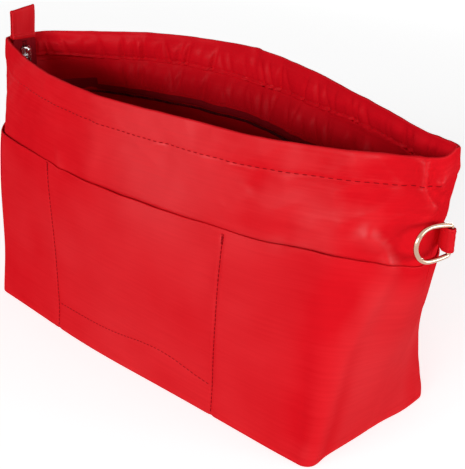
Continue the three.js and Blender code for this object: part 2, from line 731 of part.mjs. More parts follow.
add("d_ring_loop", ringLoop(), nylon);

export default bag;
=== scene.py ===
"""Purse organizer insert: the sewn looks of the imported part, in millimetres until a mesh is made"""
import math

import bpy
import bmesh
import numpy as np
from mathutils import Matrix, Vector

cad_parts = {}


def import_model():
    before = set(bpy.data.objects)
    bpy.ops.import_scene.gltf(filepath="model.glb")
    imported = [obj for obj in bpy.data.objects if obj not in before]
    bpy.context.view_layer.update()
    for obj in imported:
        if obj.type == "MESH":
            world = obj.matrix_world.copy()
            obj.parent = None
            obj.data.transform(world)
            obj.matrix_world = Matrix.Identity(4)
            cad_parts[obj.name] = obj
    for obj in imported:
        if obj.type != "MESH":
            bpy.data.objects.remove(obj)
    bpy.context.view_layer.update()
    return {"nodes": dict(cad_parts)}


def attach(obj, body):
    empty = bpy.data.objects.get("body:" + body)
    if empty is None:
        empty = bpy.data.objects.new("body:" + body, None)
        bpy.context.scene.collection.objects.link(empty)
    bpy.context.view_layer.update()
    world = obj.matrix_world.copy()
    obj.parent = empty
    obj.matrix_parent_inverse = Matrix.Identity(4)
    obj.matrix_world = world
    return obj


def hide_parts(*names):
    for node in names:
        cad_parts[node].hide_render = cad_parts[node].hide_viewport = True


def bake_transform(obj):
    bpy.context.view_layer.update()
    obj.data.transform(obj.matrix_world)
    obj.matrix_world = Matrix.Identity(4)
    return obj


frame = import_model()
scene = bpy.context.scene

# Bag body
BASE_LENGTH = 276.0
BASE_DEPTH = 101.0
BASE_CORNER = 6.0
BASE_BOW = 1.5
BASE_TURN = 49.2
HEIGHT = 165.0
MOUTH_END = 169.543
TIP_REACH = 76.0
LEFT_END_WIDTH = 27.0
RIGHT_END_WIDTH = 9.0
END_ROUND = 4.0
BELLY_SIDE = 2.0
BELLY_END = 4.0
BELLY_REACH = 149.0
BELLY_SKEW = 1.3

# Hem, pockets and zip strips
HEM = 146.5
POCKET_TOP = 113.0
DIVIDERS = (117.0, 260.0)
INNER_POCKET_TOP = 85.0
INNER_POCKET_MARGIN = 60.0
STRIP_LEFT = 50.0
STRIP_RIGHT = 344.87
STRIP_FOOT = 127.5
COIL_LEVEL = 122.5
LINING_FOOT = 3.6
SEAM_GAP = 0.15
SEWN_ABOVE_EDGE = 1.9

# Plies: depth of the outer face inside the wall's face or off the lining's, and thickness
SHELL_PLY = 1.0
POCKET_DEPTH = -1.15
POCKET_PLY = 0.95
LINING_DEPTH = 1.3
LINING_PLY = 0.75
INNER_POCKET_OFF = 1.05
INNER_POCKET_PLY = 0.8
FACING_DEPTH = 2.3
STRIP_DEPTH = 2.75
STRIP_PLY = 0.62
STRIP_EDGE = 0.42
# Zip tape: places across it and half thickness
TAPE_PLY = ((0.0, 0.1), (0.04, 0.25), (0.3, 0.25), (0.55, 0.25), (0.8, 0.25), (0.96, 0.25), (1.0, 0.1))

# How far the pocket's three cells stand off the wall
FRONT_EASE = (0.9, 1.1, 1.6)
BACK_EASE = (1.6, 1.8, 1.6)
INNER_EASE = (1.4, 2.6, 1.4)

# Stitches: pitch, thread radius, and share of the pitch that shows
HEM_STITCH = (4.2, 0.27, 0.7)
FACING_STITCH = (4.2, 0.24, 0.7)
DIVIDER_STITCH = (2.6, 0.28, 0.93)
TACK_STITCH = (1.5, 0.22, 0.9)
LOW_STITCH = (3.0, 0.22, 0.75)
STRIP_STITCH = (2.6, 0.2, 0.8)
LOOP_STITCH = (2.2, 0.18, 0.78)
TAB_STITCH = (2.4, 0.18, 0.78)

# Zip tail, tab and ring
TAIL_X = -163.23
TAIL_Y = -3.5
TAIL_FOOT = 138.0
TAIL_TOP = 161.8
TAIL_HALF = 8.75
SLIDER_Z = 153.0
COIL_RADIUS = 0.95
COIL_PITCH = 1.3
COIL_WIRE = 0.33
COIL_STEPS = 12
COIL_TO_TAPE = 1.25
COILS_MESHED = 0.935
COILS_PARTED = 1.7
STOP_RADIUS = 1.25
# Level on the wall, place behind the strip's face, and pull of the turn
ZIP_LINES = {
    "coil": (COIL_LEVEL, 0.1, 14),
    "low": (COIL_LEVEL + COIL_TO_TAPE, -0.36, 13),
    "high": (STRIP_FOOT + 4.5, -0.36, 8),
}
TAB_FOOT = 163.0
TAB_TOP = 182.0
BAR_X = 173.577
RING_Z = 122.3
WIRE = 1.2
RING_BAR_HALF = 7.7
RING_ROUND = 8.7
RING_ROUND_AT = 10.9
RING_CORNER = 1.6
RING_TURN = 18.0
LOOP_FOOT = 116.5
LOOP_TOP = 128.5
LOOP_PLY = 0.8
LOOP_HALF = 6.0

# Camera fitted to the photo: degrees, metres and pixels
CAMERA_TURN = (44.3, 23.3, 1.28)
CAMERA_AIM = (0.02336, 0.00992, 0.07456)
CAMERA_DISTANCE = 0.55704
FOCAL_PIXELS = 941.88
PICTURE_HEIGHT = 469
SENSOR = 36.0

# Lamps: name, place, height aimed at, width, height and watts
LAMPS = [
    ("key", (0.25, -2.07, 0.56), 0.08, 2.0, 0.75, 35.5),
    ("fill", (1.15, -1.6, 0.45), 0.08, 1.2, 0.7, 0.8),
    ("side", (1.88, 0.3, 0.3), 0.1, 1.2, 0.5, 17.5),
    ("far side", (1.7, 0.95, 0.4), 0.08, 0.7, 0.6, 4),
    ("back", (-0.5, 2.1, 0.17), 0.08, 2.0, 0.26, 17),
    ("left", (-2.1, 0.3, 0.13), 0.08, 1.2, 0.2, 8),
]
WORLD_LIGHT = 0.11
FLOOR_REACH = 1.6
FLOOR_DROP = 0.0004
FLOOR_GREY = (0.8, 0.8, 0.8, 1)
FLOOR_GLOW = 0.7

MM = 0.001
UP = np.array([0, 0, 1.0])
EDGE_STEPS = 7


def smooth(x):
    x = np.clip(x, 0, 1)
    return x * x * (3 - 2 * x)


def bell(x):
    return np.exp(-np.square(x))


def bumps(s, table):
    """Sum of bells along the wall, each with its height, place and reach"""
    return sum(height * bell((s - at) / reach) for height, at, reach in table)


def noise(x, y, cells, seed):
    """Seeded gradient noise of about -1 to 1; x repeats after a whole number of cells"""
    angle = np.random.default_rng(seed).uniform(0, 2 * math.pi, (cells, 64))
    x, y = np.broadcast_arrays(x, y)
    column, row = np.floor(x).astype(int), np.floor(y).astype(int)
    dx, dy = x - column, y - row

    def corner(i, j):
        a = angle[(column + i) % cells, (row + j) % 64]
        return np.cos(a) * (dx - i) + np.sin(a) * (dy - j)

    fx, fy = (t ** 3 * (t * (t * 6 - 15) + 10) for t in (dx, dy))
    low = corner(0, 0) * (1 - fx) + corner(1, 0) * fx
    high = corner(0, 1) * (1 - fx) + corner(1, 1) * fx
    return 1.5 * (low * (1 - fy) + high * fy)


def run_of(points):
    return np.r_[0, np.cumsum(np.linalg.norm(np.diff(points, axis=0), axis=1))]


def unit(v):
    return v / np.linalg.norm(v, axis=-1, keepdims=True)


def bezier(share, *points):
    """A smooth line drawn by its control points"""
    points, share = np.array(points, float), share[:, None]
    while len(points) > 1:
        points = [a + (b - a) * share for a, b in zip(points, points[1:])]
    return points[0]


def spaced(start, end, step):
    return np.linspace(start, end, round(abs(end - start) / step) + 1)


def along_run(places, run, points):
    """Points at distances along a line"""
    return np.stack([np.interp(places, run, column) for column in points.T], -1)


class Wall:
    """One half of the bag's wall, by distance from the left seam, flat height, and depth inside it"""

    def __init__(self, word, side, bow, power, shift, rise, tip, waves, folds, ease):
        self.word, self.side, self.folds, self.ease = word, side, folds, ease
        turn = np.linspace(0, math.pi / 2, 13)
        x, y = BASE_LENGTH / 2 - BASE_CORNER, BASE_DEPTH / 2 - BASE_CORNER
        left = np.stack([-x - BASE_CORNER * np.cos(turn), y + BASE_CORNER * np.sin(turn)], -1)
        q = np.linspace(0, 1, 41)[1:-1]
        long = np.stack([x * (2 * q - 1), BASE_DEPTH / 2 + 4 * BASE_BOW * q * (1 - q)], -1)
        self.base = np.vstack([[-BASE_LENGTH / 2, 0], left, long, left[::-1] * [-1, 1], [BASE_LENGTH / 2, 0]])
        self.base[:, 1] *= side
        x = -MOUTH_END * np.cos(np.linspace(0, math.pi, 4001))
        t = x / MOUTH_END
        swell = 1 - np.abs(t - shift * (1 - t * t)) ** power
        ends = (LEFT_END_WIDTH + (RIGHT_END_WIDTH - LEFT_END_WIDTH) * (t + 1) / 2) / 2
        near = np.minimum(MOUTH_END - np.abs(x), END_ROUND) / END_ROUND
        rounding = np.sqrt(np.clip(1 - (1 - near) ** 2, 0, None))
        y = side * (ends * rounding + bow * swell)
        tilt = tip * rounding * smooth((TIP_REACH - (MOUTH_END - x)) / TIP_REACH)
        self.mouth = np.stack([x, y, HEIGHT + rise * swell + tilt], -1)
        self.base_run, self.mouth_run = run_of(self.base), run_of(self.mouth)
        self.girth = self.base_run[-1]
        s = self.mouth_run / self.mouth_run[-1] * self.girth
        self.mouth[:, 2] += bumps(s, waves)

    def drawn(self, s, z):
        """Places on the straight wall between the base's edge and the mouth's"""
        u, v = s / self.girth, z / HEIGHT
        foot = along_run(u * self.base_run[-1], self.base_run, self.base)
        foot = np.concatenate([foot, 0 * u[..., None]], -1)
        top = along_run(u * self.mouth_run[-1], self.mouth_run, self.mouth)
        return foot + (top - foot) * v[..., None]

    def inward(self, s, z):
        """Level direction into the bag"""
        reach = 0.004 * self.girth
        ahead = self.drawn(np.minimum(s + reach, self.girth), z)
        along = ahead - self.drawn(np.maximum(s - reach, 0), z)
        square = smooth(np.minimum(s, self.girth - s) / 3)
        return unit(np.stack([-along[..., 1], along[..., 0] * square, 0 * s], -1) * -self.side)

    def at(self, s, z, depth):
        """Places at a depth inside the wall's plain face, which swells at half height"""
        s, z, depth = np.broadcast_arrays(np.asarray(s, float), np.asarray(z, float), depth)
        v = np.clip(z / HEIGHT, 0, None)
        near_end = smooth((BELLY_REACH - np.minimum(s, self.girth - s)) / BELLY_REACH)
        belly = (BELLY_SIDE + BELLY_END * near_end) * np.sin(math.pi * v ** BELLY_SKEW)
        return self.drawn(s, z) + self.inward(s, z) * (depth - belly)[..., None]

    def around(self, s):
        """Distance round the whole bag, so that front and back agree at the seams"""
        return s if self.side < 0 else 2 * self.girth - s


# Slow waves of the sewn rim and of the front pocket's edge: height, place and reach along the wall
FRONT_WAVES = [(1.8, 243, 42), (0.8, 318, 28), (2.2, 372, 3.2)]
BACK_WAVES = [(0.5, 150, 90), (-0.7, 150, 18), (0.8, 222, 38), (-0.5, 328, 22), (2.2, 372, 3.2)]
FRONT_POCKET_EDGE = [(-0.8, 132, 25), (-1.2, 236, 18), (1.6, 250, 38), (4.2, 314, 24)]
# Soft folds of the walls: height, half width, and the line (distance from the left seam, flat height)
FRONT_FOLDS = [
    (2.2, 6.5, [(327, 6), (329, 30), (333, 63), (342, 86), (353, 108)]),
    (-2.0, 8.5, [(317, 16), (318, 51), (320, 70), (328, 95)]),
    (1.7, 2.0, [(359, 162), (360, 156), (360, 150), (364, 144), (366, 140)]),
    (-1.4, 1.8, [(362.5, 158), (363.5, 152), (366, 147), (369, 142)]),
    (1.2, 1.8, [(365.5, 153), (368, 147)]),
    (1.0, 4.5, [(360, 143), (362, 140), (365, 136)]),
    (2.4, 5.5, [(339, 126), (343, 123), (348, 120), (350, 114)]),
    (-1.5, 6.0, [(351, 122), (356, 118), (362, 116)]),
    (0.6, 4.0, [(340, 150), (333, 141), (324, 132)]),
    (0.6, 4.0, [(349, 150), (344, 142), (336, 136)]),
    (-0.8, 5.0, [(282, 148), (280, 144), (278, 140)]),
    (-0.7, 6.0, [(222, 147), (221, 140), (220, 132)]),
    (-1.0, 7.0, [(278, 120), (287, 120), (297, 119)]),
    (0.9, 7.0, [(167, 163), (166, 150), (164, 132), (159, 116)]),
    (0.8, 4.0, [(125, 118), (127, 112)]),
]
BACK_FOLDS = [
    (2.0, 10.0, [(329, 10), (334, 40), (342, 68), (351, 92), (358, 106)]),
    (-1.5, 9.0, [(320, 30), (324, 60), (333, 95)]),
    (2.0, 10.0, [(42, 10), (38, 40), (30, 68), (21, 92)]),
    (-1.2, 12.0, [(150, 146), (156, 125), (160, 110)]),
    (1.2, 12.0, [(215, 146), (207, 128), (203, 110)]),
    (1.4, 4.0, [(183, 166), (184, 154), (186, 146)]),
    (1.1, 4.0, [(91, 166), (92, 154), (93, 146)]),
]
FRONT = Wall("front", -1, 43, 2.6, 0.11, -4, -1.8, FRONT_WAVES, FRONT_FOLDS, FRONT_EASE)
BACK = Wall("back", 1, 53, 1.55, -0.14, 8, 1.2, BACK_WAVES, BACK_FOLDS, BACK_EASE)
GIRTH = FRONT.girth


def cloth_noise(wall, s, z, length, height, seed, lean=0.0):
    """Noise with cells of a length along the wall and a height, which may lean"""
    cells = round(2 * GIRTH / length)
    return noise((wall.around(s) + lean * z) / (2 * GIRTH) * cells, z / height, cells, seed)


# Seams as they were sewn, a little off the straight
def divider_lines(z):
    return 120.0 - 0.058 * z, 256.3 + 0.064 * z


def low_row(s):
    return 18 + 6.5 * bell((s - 214) / 34)


def facing_foot(wall, s):
    """Height of the facing's lower edge on the inside"""
    if wall.side < 0:
        return HEM + 2.5 * smooth((40 - s) / 40) + 2.8 * smooth((s - 230) / 110)
    return HEM + 2.5 * smooth((60 - s) / 40) - 2.0 * bell((s - 188) / 28) + 2.8 * smooth((s - 230) / 60)


def hem_row(wall, s):
    """Height of the hem's stitch row, sewn through the facing's lower edge"""
    return facing_foot(wall, s) + SEWN_ABOVE_EDGE


def pocket_rise(wall, s, z):
    """How far the outer pocket's cloth was sewn higher than its nominal height"""
    rise = -4.5 * smooth((s - 348) / 24)
    if wall.side < 0:
        rise = rise - 0.5 + bumps(s, FRONT_POCKET_EDGE)
    return rise * np.clip(z / POCKET_TOP, 0, None) ** 2


def fold(s, z, height, width, line):
    """One soft ridge or hollow along a line"""
    nearest = np.inf
    for (s0, z0), (s1, z1) in zip(line, line[1:]):
        ds, dz = s1 - s0, z1 - z0
        t = np.clip(((s - s0) * ds + (z - z0) * dz) / (ds * ds + dz * dz), 0, 1)
        nearest = np.minimum(nearest, np.hypot(s - s0 - t * ds, z - z0 - t * dz))
    return height * bell(nearest / width)


def seam_distance(s):
    return np.minimum(s, GIRTH - s)


def stance(wall, s, z):
    """How the whole wall leans in and out as it stands"""
    right, left = GIRTH - s, s
    out = 2.6 * bell(right / 15) * smooth((z - 126) / 28)
    out -= 1.2 * bell(right / 30) * (bell((z - 104) / 13) + bell((z - 34) / 22))
    out += 2.2 * bell(left / 18) * smooth((z - 116) / 16)
    out -= 2.3 * bell(left / 22) * bell((z - 90) / 27)
    if wall.side < 0:
        return out + (2.9 * bell((s - 150) / 65) - 1.0 * bell((right - 38) / 20)) * bell(z / 14)
    out -= 1.5 * bell((right - 42) / 18) * smooth((100 - z) / 40) * smooth(z / 16)
    return out + 1.8 * bell((right - 28) / 13) * bell(z / 12)


def drape(wall, s, z):
    """How far the wall's cloth stands out from its plain shape"""
    held = smooth(z / 40)
    out = 1.1 * held * cloth_noise(wall, s, z, 80, 90, 1)
    out += 0.5 * held * cloth_noise(wall, s, z, 30, 48, 2, 0.25)
    upper = smooth((z - 100) / 15)
    out += upper * 0.55 * cloth_noise(wall, s, z, 17, 26, 3, -0.5)
    for height, width, line in wall.folds:
        out += fold(s, z, height, width, line)
    out += stance(wall, s, z)
    seam = seam_distance(s)
    out -= 0.12 * bell(seam / 1.2)
    out += 0.25 * np.exp(-seam / 9) * noise(z / 7, 0 * z + 3.5, 40, 4) * smooth(z / 12)
    first, second = divider_lines(z)
    sewn = smooth((POCKET_TOP - 1 - z) / 2)
    for divider in (first, second):
        out -= 0.5 * sewn * bell((s - divider) / 1.3)
    between = smooth((s - first) / 2) * smooth((second - s) / 2)
    out -= 0.35 * between * bell((z - low_row(s)) / 1.1)
    foot = np.clip(1 - z / 2, 0, 1)
    return out - 0.5 * (1 - np.sqrt(1 - foot * foot))


def creases(wall, s, z):
    """Crisp small creases of the free cloth above the pocket, most at the right tip"""
    sharp = 1 - 2.2 * np.abs(cloth_noise(wall, s, z, 24, 22, 61, 0.7))
    cross = 1 - 2.2 * np.abs(cloth_noise(wall, s, z, 16, 15, 62, -0.9))
    free = smooth((z - POCKET_TOP - 2) / 12)
    share = 0.26 + 0.9 * smooth((s - 318) / 30)
    return free * share * (0.75 * sharp + 0.5 * cross)


def painted_sheen(wall, s, z):
    """Painted sheen: how much the satin's coat is raised as painted highlights, most on ridges, creases, the
    middle and the low right end, and lowered as painted shade in hollows and near the seams up high
    """
    upper = smooth((z - 70) / 60)
    out = 1.7 * upper * bell((s - 212) / 48) - 0.1 - 0.25 * upper
    out += (1 - upper) * (0.5 * bell((s - 185) / 72) + 0.3 * bell((s - 270) / 34))
    out -= 0.3 * smooth((60 - seam_distance(s)) / 50) * smooth((z - 90) / 40)
    out += 0.75 * smooth((s - 334) / 14) * smooth((112 - z) / 25)
    for height, width, line in wall.folds:
        out += (0.36 if width < 6 else 0.22) * fold(s, z, height, width, line)
    return out + 0.35 * creases(wall, s, z)


def pucker(wall, s, z, seed):
    """Small gathers that fan out from the hem's stitch row"""
    above = z - hem_row(wall, s)
    fine = cloth_noise(wall, s, z, 6.5, 30, seed)
    wide = cloth_noise(wall, s, z, 15, 40, seed + 1, 0.2)
    drag = cloth_noise(wall, s, z, 10, 70, seed + 2, -0.85) * np.exp(-np.abs(above) / 20)
    near = np.exp(-np.abs(above) / 6)
    return near * (0.2 * fine + 0.35 * wide) + 0.22 * drag * smooth(-above / 3)


def shell_out(wall, s, z):
    """How far the shell's outer face stands out, with its hem"""
    row = hem_row(wall, s)
    band = np.clip((z - row) / (HEIGHT - row), 0, 1)
    puff = 0.25 * np.sin(math.pi * band) ** 0.8
    groove = 0.35 * bell((z - row) / 0.75) * (0.3 + 0.7 * smooth((s - 60) / 80))
    ends = smooth(seam_distance(s) / 6)
    return drape(wall, s, z) + ends * (puff - groove + pucker(wall, s, z, 11) + creases(wall, s, z))


def gathers(wall, s, z):
    """Vertical folds of the inside band and of the strip below it, from 0 to about 1"""
    wide = 1 - 1.6 * np.abs(cloth_noise(wall, s, z, 30, 80, 21, 0.12))
    fine = cloth_noise(wall, s, z, 10, 45, 22, 0.35)
    return np.clip(0.3 + 0.55 * wide + 0.5 * fine, -0.1, 1.3)


def pleats(s, z):
    """Narrow slanted creases of the inside band and of the strip below it"""
    draw = np.random.default_rng(71)
    out = 0 * s * z
    for at in 14 + 9.4 * np.arange(38):
        middle = at + draw.uniform(-3.5, 3.5) + draw.uniform(-0.45, 0.45) * (z - HEM)
        width, depth = draw.uniform(1.4, 2.5), draw.uniform(0.7, 2.7)
        out = np.minimum(out, -depth * bell((s - middle) / width))
    return out


def facing_depth(wall, s, z):
    """Inner face of the hem"""
    foot = facing_foot(wall, s)
    band = np.clip((z - foot) / (HEIGHT - foot), 0, 1)
    ends = smooth((seam_distance(s) - 4) / 10)
    puff = 0.4 * np.sin(math.pi * band)
    puff += 2.6 * smooth((0.95 - band) / 0.6) * (gathers(wall, s, z) - 0.4)
    puff += (1.3 + pleats(s, z)) * smooth((0.9 - band) / 0.5)
    groove = 0.4 * bell((z - foot - SEWN_ABOVE_EDGE) / 0.8) - 0.9 * bell((z - foot - 0.4) / 0.7)
    thick = FACING_DEPTH - 0.9 * smooth((z - HEIGHT + 7) / 6)
    return thick - drape(wall, s, z) + ends * np.clip(puff - groove, -0.8, 3.2)


def lining_slack(wall, s, z):
    """How far the lining hangs loose of the wall"""
    middle = smooth((z - LINING_FOOT) / 30) * smooth((118 - z) / 20) * smooth(seam_distance(s) / 25)
    folds = 0.5 + 0.5 * cloth_noise(wall, s, z, 42, 70, 31, 0.15)
    return 2.2 * middle * np.clip(folds, 0, 1)


def strip_lean(wall, s, z):
    """How far the hanging zip strip has swung in from the lining"""
    ends = smooth((s - STRIP_LEFT) / 80) * smooth((STRIP_RIGHT - s) / 60)
    down = np.clip((HEM - z) / (HEM - COIL_LEVEL), 0, 1.1)
    folded = gathers(wall, s, z) * np.sin(math.pi * np.clip(0.12 + 0.72 * down, 0, 1))
    loose = smooth((s - STRIP_LEFT) / 30) * smooth((STRIP_RIGHT - s) / 20)
    held = 0.15 + 0.85 * smooth((0.85 - down) / 0.5)
    creased = (1.3 + pleats(s, z)) * smooth(down / 0.4) * held
    return ends * 4.5 * down ** 1.3 + loose * (3.2 * folded + creased)


# Meshes
def placed(name, data):
    obj = bpy.data.objects.new(name, data)
    scene.collection.objects.link(obj)
    return obj


def make(name, points, faces, material, body, uv, slot, replaces=()):
    """A piece from points in millimetres, on its body and in place of its nodes"""
    mesh = bpy.data.meshes.new(name)
    places = (np.asarray(points).reshape(-1, 3) * MM).tolist()
    mesh.from_pydata(places, [], [tuple(map(int, f)) for f in faces])
    layer = mesh.uv_layers.new(name="cloth")
    layer.data.foreach_set("uv", (np.asarray(uv, np.float32) * MM).ravel())
    mesh.materials.append(material)
    mesh.polygons.foreach_set("use_smooth", [True] * len(mesh.polygons))
    obj = placed(name, mesh)
    if body:
        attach(obj, body)
    if replaces:
        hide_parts(*replaces)
    return obj


def ring_loft(sections, closed=False):
    """Faces and cloth coordinates of closed cross sections joined in a row"""
    count, ring = sections.shape[:2]
    spans = count if closed else count - 1
    i, j = np.meshgrid(np.arange(spans), np.arange(ring), indexing="ij")
    corners = ((0, 0), (1, 0), (1, 1), (0, 1))
    quads = [(i + a) % count * ring + (j + b) % ring for a, b in corners]
    faces = np.stack(quads, -1).reshape(-1, 4).tolist()
    across = np.r_[0, np.cumsum(np.linalg.norm(np.roll(sections, -1, 1) - sections, axis=-1).mean(0))]
    rail = sections.mean(1)
    along = run_of(np.vstack([rail, rail[:1]]) if closed else rail)
    if not closed:
        along = np.linspace(0, along[-1], count)
    uv = [np.stack([along[i + a], across[j + b]], -1) for a, b in corners]
    uv = np.stack(uv, 2).reshape(-1, 2)
    if not closed:
        last = (count - 1) * ring
        ends = []
        for a in range((ring - 1) // 2):
            b = ring - 1 - a
            end = [a, a + 1, b - 1, b] if b - 1 > a + 1 else [a, a + 1, b]
            ends += [end, [last + k for k in end[::-1]]]
        faces += ends
        uv = np.vstack([uv, np.zeros((sum(map(len, ends)), 2))])
    return faces, uv


def fix_normals(obj, sides=None):
    """Turns every face outward; faces after the given number are flat ends with sharp edges"""
    work = bmesh.new()
    work.from_mesh(obj.data)
    bmesh.ops.recalc_face_normals(work, faces=work.faces)
    work.faces.ensure_lookup_table()
    for face in work.faces[sides:] if sides else ():
        for edge in face.edges:
            edge.smooth = edge.smooth and all(f.index >= sides for f in edge.link_faces)
    work.to_mesh(obj.data)
    work.free()
    return obj


def lofted(name, sections, material, body="bag", closed=False, **more):
    """A piece from a row of closed cross sections"""
    faces, uv = ring_loft(np.asarray(sections), closed)
    sides = (len(sections) - 1) * len(sections[0])
    piece = make(name, sections, faces, material, body, uv, **more)
    return fix_normals(piece, None if closed else sides)


def wall_piece(wall, name, sections, material, slot, *nodes):
    """A lofted piece of one wall, in place of its node of that name or of the given nodes"""
    replaced = [f"{wall.word}_{node}" for node in nodes or (name,)]
    return lofted(f"{name}_{wall.word}", sections, material, slot=slot, replaces=replaced)


def note_painted_sheen(piece, wall, s, outer_z):
    """Notes on the outer face's points their painted sheen, the painted highlight and shade of the satin"""
    sheen_paint = np.zeros((len(s), len(piece.data.vertices) // len(s)), np.float32)
    sheen_paint[:, :len(outer_z)] = painted_sheen(wall, s[:, None], outer_z[None, :])
    layer = piece.data.attributes.new("painted_sheen", "FLOAT", "POINT")
    layer.data.foreach_set("value", sheen_paint.ravel())


def stations(start, end, step, marks=(), fine=0.45, reach=2.7):
    """Even stations with closer ones round each mark"""
    places = [spaced(start, end, step)]
    for mark in marks:
        places.append(np.arange(mark - reach, mark + reach + fine / 2, fine))
    found = np.unique(np.round(np.concatenate(places), 3))
    found = found[(found > start + fine / 2) & (found < end - fine / 2)]
    return np.r_[start, found[np.r_[True, np.diff(found) > fine * 0.5]], end]


def wall_ring(wall, s, outer_z, outer_depth, inner_depth, rise=None):
    """Sections of a cloth: up its outer face, over its rounded upper edge and down its inner face"""
    s = s[:, None]
    up = outer_z[None, :] + 0 * s
    if rise:
        up = up + rise(wall, s, up)
    out, inn = outer_depth(wall, s, up), inner_depth(wall, s, up)
    middle, half = (out[:, -1:] + inn[:, -1:]) / 2, (inn[:, -1:] - out[:, -1:]) / 2
    turn = np.linspace(0, math.pi, EDGE_STEPS + 2)[None, 1:-1]
    roll_z = up[:, -1:] + half * np.sin(turn)
    roll_depth = middle - half * np.cos(turn)
    z = np.concatenate([up, roll_z, up[:, ::-1]], 1)
    depth = np.concatenate([out, roll_depth, inn[:, ::-1]], 1)
    return wall.at(s, z, depth)


def ply(wall, name, s, z, face, thickness, material, slot, rise=None):
    """A cloth of one thickness on the wall"""
    sections = wall_ring(wall, s, z, face, lambda *place: face(*place) + thickness, rise)
    return wall_piece(wall, name, sections, material, slot)


def shell_in(wall, s, z):
    """Inner face of the shell: one ply, and above it the facing"""
    plain = SHELL_PLY - drape(wall, s, z)
    face = facing_depth(wall, s, z)
    return plain + (face - plain) * smooth((z - facing_foot(wall, s) + 1.0) / 0.8)


def shell(wall, material, inner_material):
    """The outer panel with its hem turned in, one cloth with two finishes: the inner one a little darker and
    less glossy, painted shade for the dim inside
    """
    seams, creased_from = [0.0, GIRTH], 320.0
    s = np.r_[stations(0.0, creased_from, 1.1, seams)[:-1], stations(creased_from, GIRTH, 0.8, seams)]
    covered, hem = POCKET_TOP - 2, HEM - 4
    low = stations(0.0, covered, 3.0, [1.5])[:-1]
    free = stations(covered, hem, 1.1)[:-1]
    high = stations(hem, HEIGHT - 1.2, 0.6)
    outer_z = np.concatenate([low, free, high])
    sections = wall_ring(wall, s, outer_z, lambda *place: -shell_out(*place), shell_in)
    piece = wall_piece(wall, "shell", sections, material, "nylon", "panel", "facing")
    note_painted_sheen(piece, wall, s, outer_z)
    piece.data.materials.append(inner_material)
    ring = sections.shape[1]
    place = np.arange(len(piece.data.polygons)) % ring
    place[(len(s) - 1) * ring:] = 0
    past_rim = len(outer_z) + EDGE_STEPS - 2
    piece.data.polygons.foreach_set("material_index", (place > past_rim).astype(np.int32))


def pocket_ease(s, z, top, most):
    """How far the pocket's cloth stands off the wall between its seams, most at its open edge"""
    stops = [0.0, *divider_lines(z), GIRTH]
    out = 0 * s * z
    for k, (start, end) in enumerate(zip(stops, stops[1:])):
        part = np.clip((s - start) / (end - start), 0, 1)
        out += most[k] * np.sin(math.pi * part) ** 1.4 * np.clip(z / top, 0, 1) ** 3
    return out


def pocket_face(wall, s, z):
    """Outer face of the outer pocket"""
    ease = pocket_ease(s, z, POCKET_TOP, wall.ease)
    wave = 0.3 * np.abs(cloth_noise(wall, s, z, 34, 60, 41)) * (z / POCKET_TOP) ** 2
    return POCKET_DEPTH - drape(wall, s, z) - ease - wave


def pocket(wall, material):
    s = stations(0.0, GIRTH, 1.5, [0.0, GIRTH, *DIVIDERS], 0.5, 5)
    z = stations(0.0, POCKET_TOP - 0.6, 2.6, [1.5, 20.0, POCKET_TOP - 1.5], 0.5, 4.5)
    piece = ply(wall, "pocket", s, z, pocket_face, POCKET_PLY, material, "nylon", pocket_rise)
    note_painted_sheen(piece, wall, s, z)


def lining_face(wall, s, z):
    return LINING_DEPTH - drape(wall, s, z) + lining_slack(wall, s, z)


def lining(wall, material):
    s = stations(SEAM_GAP, GIRTH - SEAM_GAP, 2.6, [0.0, GIRTH], 0.8, 2.4)
    z = stations(LINING_FOOT, HEM - 1.8, 3.0)
    ply(wall, "lining", s, z, lining_face, LINING_PLY, material, "lining")


def inner_pocket(wall, material):
    start, end = INNER_POCKET_MARGIN, GIRTH - INNER_POCKET_MARGIN
    s = stations(start, end, 2.2, DIVIDERS, 0.6, 2.4)
    z = stations(LINING_FOOT + 1.2, INNER_POCKET_TOP - 0.6, 2.8, [INNER_POCKET_TOP - 1.5], 0.5, 2)

    def face(wall, s, z):
        ends = smooth((s - start) / 20) * smooth((end - s) / 20)
        loose = pocket_ease(s, z, INNER_POCKET_TOP, INNER_EASE) * ends
        return lining_face(wall, s, z) + INNER_POCKET_OFF + loose

    piece = ply(wall, "inner_pocket", s, z, face, INNER_POCKET_PLY, material, "lining")


def strip_depth(wall, s, z):
    """Outer face of the hanging strip"""
    close = 0.6 * smooth((STRIP_LEFT + 25 - s) / 25)
    off_lining = (0.75 - close) * smooth((HEM - z) / 8)
    return STRIP_DEPTH - close - drape(wall, s, z) + off_lining + strip_lean(wall, s, z)


def strip(wall, material):
    s = stations(STRIP_LEFT, STRIP_RIGHT, 1.3)[:, None]
    share = np.linspace(0, 1, 24)[None, :]
    head, foot = facing_foot(wall, s) + 0.2, STRIP_FOOT + 0.5
    down = head + (foot - head) * share
    face = strip_depth(wall, s, down)
    turn = np.linspace(0, math.pi, 7)[None, 1:-1]
    z = np.concatenate([down, foot - STRIP_EDGE * np.sin(turn) + 0 * s, down[:, ::-1]], 1)
    middle = strip_depth(wall, s, 0 * s + STRIP_FOOT) + 0.3
    depth = np.concatenate([face + STRIP_PLY, middle + STRIP_EDGE * np.cos(turn), face[:, ::-1]], 1)
    piece = wall_piece(wall, "zip_strip", wall.at(s, z, depth), material, "nylon")


